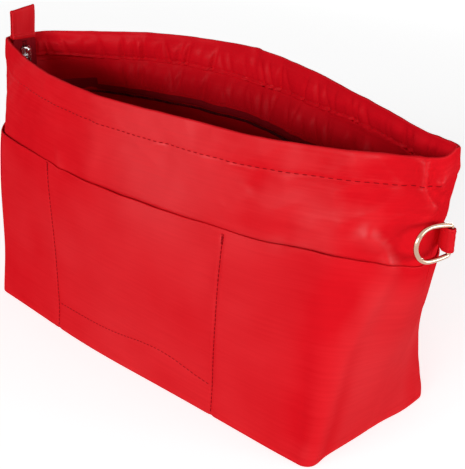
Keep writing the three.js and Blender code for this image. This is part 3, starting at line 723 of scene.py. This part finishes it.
# Zip
def zip_path(wall, key, step):
    """Line of the coil or of a tape edge along the wall, round the turn and up the tail"""
    s = spaced(STRIP_RIGHT, STRIP_LEFT, step)
    level, behind, pull = ZIP_LINES[key]
    along_wall = wall.at(s, level, strip_depth(wall, s, 0 * s + level) + behind)
    tail_z = spaced(TAIL_FOOT, TAIL_TOP, step)
    parting = np.clip((SLIDER_Z + 3.5 - tail_z) / 4, 0, 1)
    offset = COILS_MESHED + (COILS_PARTED - COILS_MESHED) * smooth(parting)
    y = {"coil": offset, "low": offset + COIL_TO_TAPE, "high": 0 * offset + TAIL_HALF}[key]
    tail = np.stack([0 * tail_z + TAIL_X, TAIL_Y + wall.side * y, tail_z], -1)
    start, end = along_wall[-1], tail[0]
    heading = unit((along_wall[-1] - along_wall[-3]) * [1, 1, 0])
    share = np.linspace(0, 1, round(52 / step))[1:-1]
    turn = bezier(share, start, start + heading * pull, end - UP * pull, end)
    return np.vstack([along_wall, turn, tail])


def evenly(points, step):
    run = run_of(points)
    return along_run(spaced(0, run[-1], step), run, points)


def tape(wall, material):
    step = 1.3
    low, high = zip_path(wall, "low", step), zip_path(wall, "high", step)
    along = unit(np.gradient(low, axis=0))
    face = unit(np.cross(along, high - low)) * -wall.side
    ribs, swell = np.array(TAPE_PLY).T
    row = low[:, None] + (high - low)[:, None] * ribs[None, :, None]
    lift = face[:, None] * swell[None, :, None]
    sections = np.concatenate([row + lift, (row - lift)[:, ::-1]], 1)
    wall_piece(wall, "zip_tape", sections, material, "zip_tape")


def tube(points, radius, sides, closed=False):
    """Sections of a round wire along points"""
    ahead = np.roll(points, -1, 0) - np.roll(points, 1, 0) if closed else np.gradient(points, axis=0)
    along = unit(ahead)
    normal = np.zeros_like(points)
    side = np.cross(along[0], [0.3, 0.2, 0.93])
    for k, tangent in enumerate(along):
        side = normal[k] = unit(side - tangent * (side @ tangent))
    other = np.cross(along, normal)
    angle = np.arange(sides) * 2 * math.pi / sides
    ring = normal[:, None] * np.cos(angle)[None, :, None] + other[:, None] * np.sin(angle)[None, :, None]
    return points[:, None] + ring * np.reshape(radius, (-1, 1, 1))


def coil(wall, material):
    """The zip's nylon coil as a real spiral on its path"""
    path, low = (evenly(zip_path(wall, key, 0.65), COIL_PITCH / COIL_STEPS) for key in ("coil", "low"))
    along = unit(np.gradient(path, axis=0))
    pick = np.linspace(0, len(low) - 1, len(path)).round().astype(int)
    across = low[pick] - path
    across = unit(across - along * (across * along).sum(-1, keepdims=True))
    face = np.cross(along, across)
    angle = np.arange(len(path)) * 2 * math.pi / COIL_STEPS + (math.pi if wall.side > 0 else 0)
    round_path = across * np.cos(angle)[:, None] + face * np.sin(angle)[:, None]
    spiral = path + (COIL_RADIUS - COIL_WIRE) * round_path
    wall_piece(wall, "zip_coil", tube(spiral, COIL_WIRE, 5), material, "zip_coil")


def stop(wall, material):
    """A small metal clamp on the tape past the coil's right end"""
    s = np.linspace(STRIP_RIGHT + 0.4, STRIP_RIGHT + 3.4, 9)
    centre = wall.at(s, COIL_LEVEL + 1.0, 3.75 - drape(wall, s, 0 * s + COIL_LEVEL))
    taper = np.array([0.55, 0.8, 0.94, 1, 1, 1, 0.94, 0.8, 0.55])
    wall_piece(wall, "zip_stop", tube(centre, STOP_RADIUS * taper, 14), material, "silver", "top_stop")


# Stitches
def stitch_row(path, outward, kind):
    """Thread lying on the cloth in short arcs that dip in at both ends"""
    pitch, radius, share = kind
    taper = radius * np.array([0.6, 0.9, 1, 1, 1, 0.9, 0.6])
    arch = radius * (0.55 - 2.2 * np.linspace(-1, 1, 7) ** 4)
    run = run_of(path)
    count = int(run[-1] / pitch)
    pieces = []
    for k in range(count):
        middle = (k + 0.5) * pitch + (run[-1] - count * pitch) / 2
        places = middle + np.linspace(-0.5, 0.5, 7) * pitch * share
        at, up = along_run(places, run, path), along_run(places, run, outward)
        pieces.append(tube(at + up * arch[:, None], taper, 6))
    return pieces


def stitching(name, rows, material, body="bag"):
    """All the stitches of some rows as one piece"""
    points, faces, uvs, count = [], [], [], 0
    for sections in rows:
        made, uv = ring_loft(sections)
        faces += [[i + count for i in f] for f in made]
        uvs.append(uv)
        points.append(sections.reshape(-1, 3))
        count += len(points[-1])
    points, uvs = np.concatenate(points), np.concatenate(uvs)
    fix_normals(make(name, points, faces, material, body, uvs, "nylon"))


def on_wall(wall, s, z, depth):
    """A line on the wall and its outward directions"""
    return wall.at(s, z, depth), -wall.inward(s, z)


def hem_stitches(wall, material, inner):
    s = np.linspace(3, GIRTH - 4.5, 900)
    z = hem_row(wall, s) + 0.2 * cloth_noise(wall, s, 0 * s, 60, 60, 51)
    sunk = 0.34 * smooth((115 - s) / 60)
    outside = stitch_row(*on_wall(wall, s, z, sunk - shell_out(wall, s, z)), HEM_STITCH)
    s = np.linspace(16, GIRTH - 9, 900)
    z = hem_row(wall, s)
    path, out = on_wall(wall, s, z, facing_depth(wall, s, z))
    stitching(f"facing_stitches_{wall.word}", stitch_row(path, -out, FACING_STITCH), inner)
    stitching(f"hem_stitches_{wall.word}", outside, material)


def pocket_stitches(wall, material):
    def face(s, z):
        return on_wall(wall, s, z, pocket_face(wall, s, z))

    rows = []
    for k in (0, 1):
        z = np.linspace(1.5, POCKET_TOP - 2.0, 400)
        rows += stitch_row(*face(divider_lines(z)[k], z), DIVIDER_STITCH)
        for side in (-0.5, 0.5):
            z = np.linspace(POCKET_TOP - 8, POCKET_TOP - 1.2, 60)
            rows += stitch_row(*face(divider_lines(z)[k] + side, z), TACK_STITCH)
    ends = divider_lines(low_row(np.array(DIVIDERS)))
    s = np.linspace(ends[0][0] + 1, ends[1][1] - 1, 500)
    rows += stitch_row(*face(s, low_row(s)), LOW_STITCH)
    stitching(f"pocket_stitches_{wall.word}", rows, material)


def strip_stitches(wall, material):
    s = np.linspace(STRIP_LEFT + 2, STRIP_RIGHT - 2, 700)
    z = STRIP_FOOT + 2.2 + 0 * s
    path, out = on_wall(wall, s, z, strip_depth(wall, s, z) + STRIP_PLY)
    stitching(f"strip_stitches_{wall.word}", stitch_row(path, -out, STRIP_STITCH), material)


# Base
def base_slab(name, depth, foot, thickness, material, slot, node, bow):
    """A flat cloth inside the wall, with a soft edge"""
    corners = [BASE_TURN, GIRTH - BASE_TURN]
    s = stations(SEAM_GAP, GIRTH - SEAM_GAP, 3.5, [0.0, GIRTH, *corners], 1.2, 7)
    level = foot + thickness / 2
    front, back = (wall.at(s, level, depth - stance(wall, s, level)) for wall in (FRONT, BACK))
    outline = np.vstack([front, back[::-1]])[:, :2]
    shares = [1, 0.995, 0.98, 0.95, 0.85, 0.7, 0.5, 0.3, 0.12]
    edge = [0.5, 0.15] + [0.0] * 7
    ripple = 0.6 + 0.4 * np.sin(outline[:, 0] / 31) * np.cos(outline[:, 1] / 17)
    points, faces, count = [], [], len(outline)
    for sign in (-1, 1):
        for share, lip in zip(shares, edge):
            z = level + sign * thickness * (0.5 - lip * 0.9) + bow * (1 - share ** 4) * ripple
            points.append(np.column_stack([outline * share, z]))
    rings = len(shares)
    for layer in range(2):
        for k in range(rings - 1):
            a, b = (layer * rings + k) * count, (layer * rings + k + 1) * count
            faces += [[a + i, a + (i + 1) % count, b + (i + 1) % count, b + i] for i in range(count)]
        last = (layer * rings + rings - 1) * count
        faces.append([last + i for i in range(count)])
    top = rings * count
    faces += [[i, (i + 1) % count, top + (i + 1) % count, top + i] for i in range(count)]
    points = np.concatenate(points)
    uv = np.concatenate([points[f, :2] for f in faces])
    fix_normals(make(name, points, faces, material, "bag", uv, slot, (node,)))


# Ring, loop and tab
def d_ring(material):
    share = np.linspace(0, 1, 17)
    arc = np.linspace(math.pi / 2, 0, 31)
    bar, corner, at = RING_BAR_HALF, RING_CORNER, RING_ROUND_AT
    upper = np.vstack([
        bezier(share, (0, bar - corner), (0, bar), (corner, bar)),
        bezier(share, (corner, bar), (at / 2, RING_ROUND), (at, RING_ROUND))[1:],
        np.column_stack([at + RING_ROUND * np.cos(arc), RING_ROUND * np.sin(arc)])[1:],
    ])
    outline = np.vstack([upper, upper[-2::-1] * [1, -1]])
    loop = np.vstack([outline, outline[:1]])
    run = run_of(loop)
    places = np.linspace(0, run[-1], 181)[:-1]
    flat = along_run(places, run, loop)
    turn = math.radians(RING_TURN)
    away = np.array([-math.sin(turn), -math.cos(turn), 0])
    points = np.array([BAR_X, 0, RING_Z]) + flat[:, :1] * away + flat[:, 1:] * UP
    lofted("ring_wire", tube(points, WIRE, 20, True), material, "ring", True, slot="pale_gold",
           replaces=("d_ring",))


def ring_loop(material, thread):
    """A flat strap round the ring's bar, its edges rounded, and its stitches"""
    middle = (LOOP_FOOT + LOOP_TOP) / 2
    root = FRONT.at(np.array(GIRTH), np.array(middle), 0.0)[0] - 1.5
    radius, spread = WIRE + 0.72, 0.56
    arc = np.linspace(-math.pi / 2, math.pi / 2, 25)
    half = np.linspace(root, BAR_X - 2.2, 14)
    ease = smooth((half - root) / (BAR_X - root))
    low = np.column_stack([half, -spread - (radius - spread) * ease])
    bow = np.column_stack([BAR_X + radius * np.cos(arc), radius * np.sin(arc)])
    plan = np.vstack([low, bow, (low * [1, -1])[::-1]])
    plan[:, 1] += 3.6 * smooth((BAR_X - 1.5 - plan[:, 0]) / (BAR_X - 1.5 - root))
    plan = evenly(np.column_stack([plan, 0 * plan[:, 0]]), 0.5)
    along = unit(np.gradient(plan, axis=0))
    out = np.cross(along, UP)
    turn, edge = np.linspace(-math.pi / 2, math.pi / 2, 5)[1:-1], LOOP_PLY / 2
    flat = LOOP_HALF - edge
    across = np.r_[np.linspace(-flat, flat, 9), flat + edge * np.cos(turn)]
    lift = np.r_[np.full(9, edge), -edge * np.sin(turn)]
    across, lift = (np.r_[part, -part][None, :, None] for part in (across, lift))
    sections = (plan + UP * middle)[:, None] + UP * across + out[:, None] * lift
    x, z = sections[..., 0], sections[..., 2]
    ripple = 0.12 * np.sin(z * 1.9 + x) * bell((z - middle) / 5)
    sections = sections + out[:, None] * ripple[..., None]
    lofted("loop_strap", sections, material, slot="nylon", replaces=("d_ring_loop",))
    rows = []
    for z in (LOOP_FOOT + 1.4, LOOP_TOP - 1.4):
        rows += stitch_row(plan + out * (edge + 0.02) + UP * z, out, LOOP_STITCH)
    stitching("loop_stitches", rows, thread)


def end_tab(material, thread):
    """Cloth folded over the zip's end, its foot turned under"""
    half, radius, thick = TAIL_HALF, 0.9, 0.7
    top = TAB_TOP - radius - thick / 2
    arc = np.linspace(0, math.pi, 13)
    rise = np.r_[np.linspace(TAB_FOOT, TAB_FOOT + 4.4, 19), np.linspace(TAB_FOOT + 5.2, top, 16)]
    path = np.vstack([
        np.column_stack([0 * rise + radius, rise]),
        np.column_stack([radius * np.cos(arc), top + radius * np.sin(arc)])[1:-1],
        np.column_stack([0 * rise - radius, rise[::-1]]),
    ])
    path = np.column_stack([TAIL_X + path[:, 0], 0 * path[:, 0] + TAIL_Y, path[:, 1]])
    along = unit(np.gradient(path, axis=0))
    out = np.cross([0, 1.0, 0], along)
    border = np.r_[half, half - 0.12, np.linspace(half - 0.4, half - 1.9, 6)]
    across = np.r_[-border, np.linspace(-half + 2.6, half - 2.6, 14), border[::-1]]
    inset = half - np.abs(across)
    edge = np.where(inset < 0.05, 0.45, np.where(inset < 0.2, 0.85, 1.0))
    rolled = 0.16 * smooth((1.5 - inset) / 0.4)
    up = path[:, 2:] - TAB_FOOT
    dent = 0.22 * np.sin(across * 0.42 + 0.8)[None, :] * np.sin(up / 6.5) * smooth(up / 5)
    foot = 0.8 * smooth((3.3 - up) / 0.5) * np.sqrt(np.clip(1 - ((up - 1.6) / 1.8) ** 2, 0.1, 1))
    over = (thick / 2 + rolled + dent + foot) * edge[None, :]
    under = (-thick / 2 * edge)[None, :] + 0.6 * dent
    risen = smooth(up / 15)
    slant = (1.2 + 1.4 * across / half)[None, :] * risen
    spread = across[None, :] * (1 + 0.03 * risen) - 0.9 * (1 - risen)
    row = path[:, None] + np.array([0, 1.0, 0]) * spread[..., None] + UP * slant[..., None]
    front = row + out[:, None] * over[..., None]
    rear = row + out[:, None] * under[..., None]
    sections = np.concatenate([front, rear[:, ::-1]], 1)
    lofted("tab_cloth", sections, material, "tab", slot="nylon", replaces=("zip_end_tab",))
    rows = []
    places = np.linspace(-half + 0.8, half - 0.8, 60)
    for side in (1, -1):
        x = TAIL_X + side * (radius + thick / 2 + 0.78)
        line = np.column_stack([0 * places + x, places + TAIL_Y - 0.9, 0 * places + TAB_FOOT + 2.0])
        rows += stitch_row(line, np.tile([side, 0, 0], (60, 1)), TAB_STITCH)
    stitching("tab_stitches", rows, thread, "tab")


def tape_end(material):
    """The zip's end, straight up from the tail into the tab"""
    rise = np.linspace(158.0, 169.5, 30)
    across = np.linspace(-TAIL_HALF + 0.4, TAIL_HALF - 0.4, 15)
    row = np.stack(np.broadcast_arrays(TAIL_X, TAIL_Y + across[None, :], rise[:, None]), -1)
    lift = np.array([0.22, 0, 0])
    sections = np.concatenate([row + lift, (row - lift)[:, ::-1]], 1)
    piece = lofted("zip_tape_end_cloth", sections, material, None, slot="zip_tape",
                   replaces=("zip_tape_end",))
    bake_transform(piece)


def metal_copy(name, node, body, width):
    """The node's own shape in silver, with its sharp edges broken"""
    mesh = frame["nodes"][node].data.copy()
    work = bmesh.new()
    work.from_mesh(mesh)
    bmesh.ops.remove_doubles(work, verts=work.verts, dist=1e-6)
    bmesh.ops.dissolve_limit(work, angle_limit=0.02, verts=work.verts, edges=work.edges)
    work.to_mesh(mesh)
    work.free()
    mesh.materials.clear()
    mesh.materials.append(silver)
    obj = placed(name, mesh)
    bevel = obj.modifiers.new("broken edges", "BEVEL")
    bevel.width, bevel.segments, bevel.limit_method = width * MM, 3, "ANGLE"
    bevel.angle_limit = math.radians(28)
    mesh.polygons.foreach_set("use_smooth", [True] * len(mesh.polygons))
    normals = obj.modifiers.new("even shading", "WEIGHTED_NORMAL")
    normals.keep_sharp = False
    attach(obj, body)
    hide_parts(node)


# Materials
class Nodes:
    """A node tree with short ways to add to it"""

    def __init__(self, owner):
        owner.use_nodes = True
        self.tree = owner.node_tree

    def add(self, kind, links=(), **values):
        """A node with its settings, socket values and links"""
        node = self.tree.nodes.new("ShaderNode" + kind)
        for key, value in values.items():
            if hasattr(node, key):
                setattr(node, key, value)
            else:
                node.inputs[key.replace("_", " ")].default_value = value
        for socket, source in dict(links).items():
            self.tree.links.new(source, node.inputs[socket])
        return node

    def math(self, operation, *values):
        node = self.add("Math", operation=operation)
        for socket, value in zip(node.inputs, values):
            if isinstance(value, float):
                socket.default_value = value
            else:
                self.tree.links.new(value, socket)
        return node.outputs[0]


class Surface(Nodes):
    """A material's shader with short ways to add textures to it"""

    def __init__(self, name, **sockets):
        self.material = bpy.data.materials.new(name)
        super().__init__(self.material)
        self.shader = self.tree.nodes["Principled BSDF"]
        for socket, value in sockets.items():
            self.shader.inputs[socket.replace("_", " ")].default_value = value

    def link(self, source, *sockets):
        for socket in sockets:
            self.tree.links.new(source, self.shader.inputs[socket])

    def texture(self, kind, coordinates, scale, **values):
        place = self.add("TexCoord").outputs[coordinates]
        spread = self.add("Mapping", {"Vector": place}, Scale=scale).outputs["Vector"]
        return self.add(kind, {"Vector": spread}, **values).outputs["Fac"]

    def noise(self, coordinates, scale, **values):
        return self.texture("TexNoise", coordinates, scale, Scale=1.0, **values)

    def ranged(self, value, **limits):
        return self.add("MapRange", {"Value": value}, **limits).outputs[0]

    def coloured(self, factor, dark, light):
        mix = self.add("Mix", {"Factor": factor}, data_type="RGBA")
        mix.inputs["A"].default_value = (*dark, 1)
        mix.inputs["B"].default_value = (*light, 1)
        self.link(mix.outputs["Result"], "Base Color")

    def roughened(self, factor, low, high):
        self.link(self.ranged(factor, To_Min=low, To_Max=high), "Roughness")

    def bump(self, height, strength, distance, **links):
        links["Height"] = height
        return self.add("Bump", links, Strength=strength, Distance=distance).outputs[0]


def woven(name, light, dark, roughness, weave, streak, satin, specular, thread=0.42):
    """Cloth: crossing threads, long faint slubs along the weft, and slow changes of shade"""
    cloth = Surface(name, Coat_IOR=4.0, Coat_Roughness=0.4, Specular_IOR_Level=specular)

    def threads(direction, scale, width):
        return cloth.texture("TexWave", "UV", scale, bands_direction=direction, Scale=0.314 / width,
                             Distortion=0.6, Detail=1.0)

    weft = threads("Y", (0, 1000, 0), thread)
    warp = threads("X", (1000, 0, 0), thread * 0.8)
    slub = cloth.noise("UV", (30, 650, 0), Detail=3.0, Roughness=0.6)
    cloud = cloth.noise("UV", (30, 30, 0), Detail=2.0)
    tone = cloth.ranged(cloth.math("ADD", slub, cloud), From_Min=0.65, From_Max=1.35)
    cloth.coloured(tone, dark, light)
    cloth.roughened(slub, roughness - 0.05, roughness + 0.07)
    if satin:
        broad = cloth.noise("UV", (8, 12, 0), Detail=1.0)
        gloss = cloth.math("ADD", cloth.math("MULTIPLY_ADD", slub, 0.55, broad), cloud)
        # Coat weight: random gloss plus the painted sheen noted on the points, that is painted highlights and
        # painted shade on the satin
        gloss_and_painted_sheen = cloth.math("ADD", gloss, cloth.add("Attribute", attribute_name="painted_sheen").outputs["Fac"])
        shine = cloth.ranged(gloss_and_painted_sheen, From_Min=0.775, From_Max=2.375, To_Min=0.0, To_Max=3.2 * satin)
        cloth.link(shine, "Coat Weight")
    fine = cloth.bump(cloth.math("MAXIMUM", weft, warp), weave, 0.0001)
    cloth.link(cloth.bump(slub, streak, 0.0004, Normal=fine), "Normal", "Coat Normal")
    return cloth.material


def metal(name, colour, roughness, specks):
    """Plated metal with a slow change of polish and hairline marks"""
    plate = Surface(name, Metallic=1.0)
    cloud = plate.noise("Object", (260, 260, 260), Detail=3.0)
    hair = plate.noise("Object", (3000, 500, 500), Detail=2.0)
    plate.roughened(cloud, roughness * 0.7, roughness * 1.4)
    plate.coloured(cloud, [c * 0.93 for c in colour], colour)
    plate.link(plate.bump(hair, specks, 0.0001), "Normal")
    return plate.material


def plastic(name, light, dark, roughness, grain):
    """Matt plastic with a fine grain"""
    solid = Surface(name, Specular_IOR_Level=0.1)
    cloud = solid.noise("Object", (700, 700, 700), Detail=3.0)
    solid.coloured(cloud, dark, light)
    solid.roughened(cloud, roughness - 0.08, roughness + 0.08)
    solid.link(solid.bump(cloud, grain, 0.0002), "Normal")
    return solid.material


# Light and dark shade, roughness, weave, slubs, satin, specular and thread width
# Inside red: the nylon's red made a little darker and given less satin, painted shade for the dim inside of
# the bag
INSIDE_RED = (0.72, 0.0045, 0.0125), (0.65, 0.004, 0.011)
nylon = woven("red_nylon", (0.73, 0.0075, 0.0145), (0.67, 0.0068, 0.013), 0.45, 0.14, 0.08, 0.03, 0.0)
facing_cloth = woven("red_facing", *INSIDE_RED, 0.45, 0.14, 0.08, 0.01, 0.0)
inside = woven("red_lining", *INSIDE_RED, 0.45, 0.16, 0.08, 0.01, 0.0)
tape_cloth = woven("zip_tape_weave", (0.34, 0.007, 0.014), (0.28, 0.005, 0.011),
                   0.7, 0.5, 0.1, 0.01, 0.0, 0.7)
# The outer stitches' thread is darker than the inside thread: painted shade for the shadow in the stitch
# holes
thread = woven("red_thread", (0.38, 0.004, 0.009), (0.32, 0.003, 0.007), 0.55, 0.3, 0.1, 0.0, 0.03, 0.3)
bright_thread = woven("bright_red_thread", (0.66, 0.006, 0.014), (0.56, 0.005, 0.012),
                      0.5, 0.3, 0.1, 0.0, 0.05, 0.3)
coil_plastic = plastic("zip_coil_nylon", (0.12, 0.004, 0.008), (0.09, 0.003, 0.006), 0.5, 0.1)
board_plastic = plastic("base_board_black", (0.028, 0.028, 0.03), (0.02, 0.02, 0.022), 0.65, 0.3)
silver = metal("nickel_plate", (0.80, 0.80, 0.81), 0.16, 0.04)
pale_gold = metal("pale_gold_plate", (0.58, 0.39, 0.285), 0.12, 0.03)

for half in (FRONT, BACK):
    shell(half, nylon, facing_cloth)
    pocket(half, nylon)
    lining(half, inside)
    inner_pocket(half, inside)
    strip(half, facing_cloth)
    tape(half, tape_cloth)
    coil(half, coil_plastic)
    stop(half, silver)
    hem_stitches(half, thread, bright_thread)
    pocket_stitches(half, thread)
    strip_stitches(half, bright_thread)
base_slab("base_cloth", 1.6, 0.0, 1.0, nylon, "nylon", "base_panel", 0.0)
base_slab("base_lining_cloth", 2.8, LINING_FOOT, 0.8, inside, "lining", "base_lining", 0.5)
d_ring(pale_gold)
ring_loop(nylon, bright_thread)
end_tab(nylon, bright_thread)
tape_end(tape_cloth)
metal_copy("slider_body", "zip_slider", "slider", 0.22)
metal_copy("pull_plate", "zip_pull", "pull", 0.2)
board = frame["nodes"]["base_board"]
board.data.materials.clear()
board.data.materials.append(board_plastic)


# Floor, light and camera
def seen_straight(nodes):
    """1 for rays from the camera, from a mirror or through glass"""
    path = nodes.add("LightPath")
    seen = path.outputs["Is Camera Ray"]
    for ray in ("Is Glossy Ray", "Is Transmission Ray"):
        seen = nodes.math("MAXIMUM", seen, path.outputs[ray])
    return seen


def floor():
    mesh = bpy.data.meshes.new("floor")
    corners = [(x * FLOOR_REACH, y * FLOOR_REACH, 0) for x, y in ((-1, -1), (1, -1), (1, 1), (-1, 1))]
    mesh.from_pydata(corners, [], [(0, 1, 2, 3)])
    obj = placed("floor", mesh)
    obj.location.z = -FLOOR_DROP
    material = bpy.data.materials.new("pale_floor")
    nodes = Nodes(material)
    nodes.tree.nodes.clear()
    diffuse = nodes.add("BsdfDiffuse", Color=FLOOR_GREY)
    glow = nodes.add("Emission", {"Strength": nodes.math("MULTIPLY", seen_straight(nodes), FLOOR_GLOW)})
    both = nodes.add("AddShader", {0: diffuse.outputs[0], 1: glow.outputs[0]})
    nodes.add("OutputMaterial", {"Surface": both.outputs[0]})
    mesh.materials.append(material)


def world():
    """Dim white as a light, and plain white where it is seen"""
    studio = bpy.data.worlds.new("studio")
    scene.world = studio
    nodes = Nodes(studio)
    nodes.tree.nodes.clear()
    dim, plain = (nodes.add("Background", Color=(1, 1, 1, 1), Strength=level) for level in (WORLD_LIGHT, 1.0))
    mix = nodes.add("MixShader", {"Fac": seen_straight(nodes), 1: dim.outputs[0], 2: plain.outputs[0]})
    nodes.add("OutputWorld", {"Surface": mix.outputs[0]})


def softbox(name, place, aim, width, height, watts):
    data = bpy.data.lights.new(name, "AREA")
    data.shape, data.size, data.size_y, data.energy = "RECTANGLE", width, height, watts
    obj = placed(name, data)
    obj.location = place
    obj.rotation_euler = (Vector((0, 0, aim)) - Vector(place)).to_track_quat("-Z", "Y").to_euler()


def camera():
    azimuth, elevation, roll = map(math.radians, CAMERA_TURN)
    level = math.cos(elevation)
    back = Vector((math.sin(azimuth) * level, -math.cos(azimuth) * level, math.sin(elevation)))
    right = Vector((math.cos(azimuth), math.sin(azimuth), 0))
    up = back.cross(right)
    right, up = math.cos(roll) * right + math.sin(roll) * up, -math.sin(roll) * right + math.cos(roll) * up
    data = bpy.data.cameras.new("camera")
    data.sensor_width = SENSOR
    data.lens = FOCAL_PIXELS / PICTURE_HEIGHT * SENSOR
    data.clip_start, data.clip_end = 0.02, 40
    obj = placed("camera", data)
    place = Vector(CAMERA_AIM) + back * CAMERA_DISTANCE
    obj.matrix_world = Matrix.Translation(place) @ Matrix((right, up, back)).transposed().to_4x4()
    scene.camera = obj


floor()
world()
for lamp in LAMPS:
    softbox(*lamp)
camera()
scene.view_settings.view_transform = "Standard"
